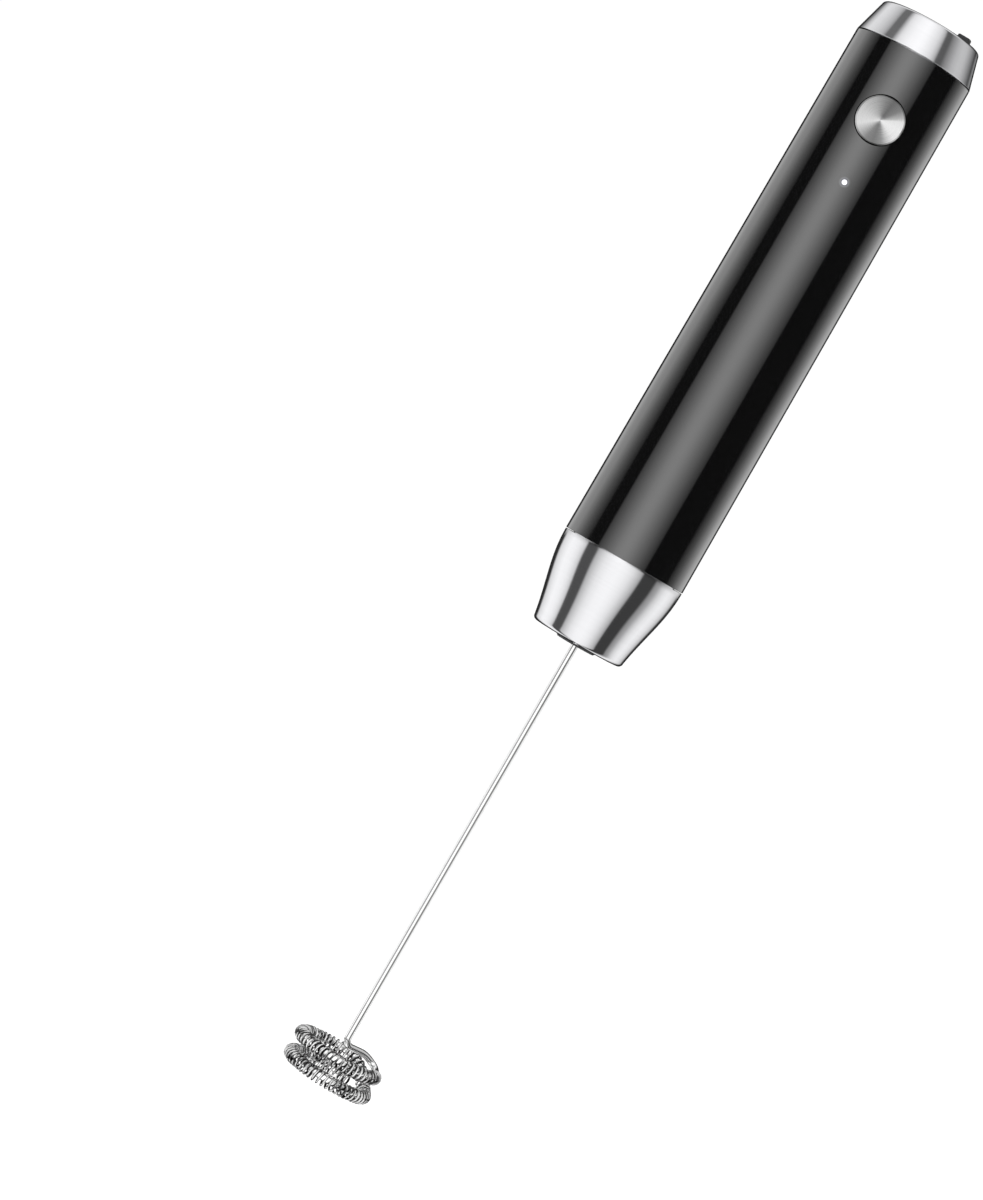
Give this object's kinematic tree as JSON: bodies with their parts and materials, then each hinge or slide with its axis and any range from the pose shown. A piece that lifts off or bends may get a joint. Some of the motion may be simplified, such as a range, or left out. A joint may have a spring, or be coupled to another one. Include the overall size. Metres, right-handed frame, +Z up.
{
  "type": "milk frother",
  "caption": "Slim rechargeable hand-held milk frother: round tapered handle with chromed ends, a front push button and a long wire whisk with a coil-spring ring.",
  "frame": {"origin": "on the handle's axis, level with the lowest point of the whisk ring", "axes": "+Z runs up the handle from the whisk to the cap; the button and its light face -Y; the port cover's lip is on the +X side"},
  "size_m": [0.0276, 0.0276, 0.2517],
  "materials": {
    "gloss_black": "high-gloss moulded black",
    "satin_chrome": "bright chrome plate",
    "spun_metal": "spun concentric brushing",
    "carrier_black": "matt moulded black",
    "cover_rubber": "soft matt black",
    "seal_rubber": "soft matt dark grey",
    "wire_steel": "drawn bright stainless wire",
    "connector_nylon": "fine matt black",
    "socket_acetal": "natural acetal",
    "motor_steel": "zinc plated pressed steel",
    "end_cap_nylon": "natural nylon",
    "bronze": "sintered bronze",
    "brass": "bright stamped brass",
    "ferrite": "sintered dark grey",
    "carbon": "matt carbon",
    "iron": "stacked laminations",
    "copper": "enamelled copper wire",
    "tray_plastic": "matt moulded grey",
    "cell_wrap": "shrink-wrap sleeve over steel",
    "nickel": "nickel strip",
    "board": "green solder mask",
    "component": "matt black mouldings",
    "phosphor": "light source",
    "light_pipe": "clear moulded light pipe",
    "port_steel": "drawn steel shell",
    "screw_steel": "zinc plated",
    "plunger": "grey moulding",
    "lead_red": "soft insulation",
    "lead_black": "soft insulation"
  },
  "bodies": {
    "handle": {"barrel": "gloss_black", "top_cap": "satin_chrome", "nose_cone": "satin_chrome", "splash_seal": "seal_rubber", "chassis_tray": "tray_plastic", "battery_cell": "cell_wrap", "battery_tab_positive": "nickel", "battery_tab_negative": "nickel", "circuit_board": "board", "board_screw_left": "screw_steel", "board_screw_right": "screw_steel", "tact_switch_base": "component", "charge_chip": "component", "led_package": "phosphor", "led_light_pipe": "light_pipe", "usb_port_shell": "port_steel", "usb_port_tongue": "component", "port_cover_anchor": "cover_rubber", "motor_can": "motor_steel", "motor_end_cap": "end_cap_nylon", "front_bush": "bronze", "rear_bush": "bronze", "motor_terminal_left": "brass", "motor_terminal_right": "brass", "motor_cradle": "seal_rubber", "magnet_left": "ferrite", "magnet_right": "ferrite", "brush_front": "carbon", "brush_rear": "carbon", "battery_lead_positive": "lead_red", "battery_lead_negative": "lead_black", "motor_lead_left": "lead_red", "motor_lead_right": "lead_black"},
    "button": {"button_disc": "spun_metal", "button_carrier": "carrier_black"},
    "switch_plunger": {"tact_plunger": "plunger"},
    "rotor": {"motor_shaft": "motor_steel", "armature_core": "iron", "winding_1": "copper", "winding_2": "copper", "winding_3": "copper", "commutator": "copper", "drive_socket": "socket_acetal"},
    "whisk": {"whisk_connector": "connector_nylon", "whisk_shaft": "wire_steel", "whisk_spring": "wire_steel"},
    "port_cover": {"port_cover": "cover_rubber"}
  },
  "joints": [
    {"name": "button_press", "type": "slide", "parent": "handle", "child": "button", "axis": [0, 1, 0], "range_m": [0, 0.0005], "stiffness_N_per_m": 800, "springref_m": -0.0005},
    {"name": "plunger_press", "type": "slide", "parent": "handle", "child": "switch_plunger", "axis": [0, 1, 0], "range_m": [0, 0.0005]},
    {"name": "rotor_spin", "type": "hinge", "parent": "handle", "child": "rotor", "pos_m": [0, 0, 0.1387], "axis": [0, 0, 1], "continuous": true},
    {"name": "whisk_pull", "type": "slide", "parent": "rotor", "child": "whisk", "axis": [0, 0, -1], "range_m": [0, 0.03]},
    {"name": "port_cover_swing", "type": "hinge", "parent": "handle", "child": "port_cover", "pos_m": [-0.0076, -0.0027, 0.25035], "axis": [0, -1, 0], "range_deg": [0, 120]}
  ],
  "couplings": [
    {"joint": "plunger_press", "follows": "button_press", "ratio": 1}
  ]
}
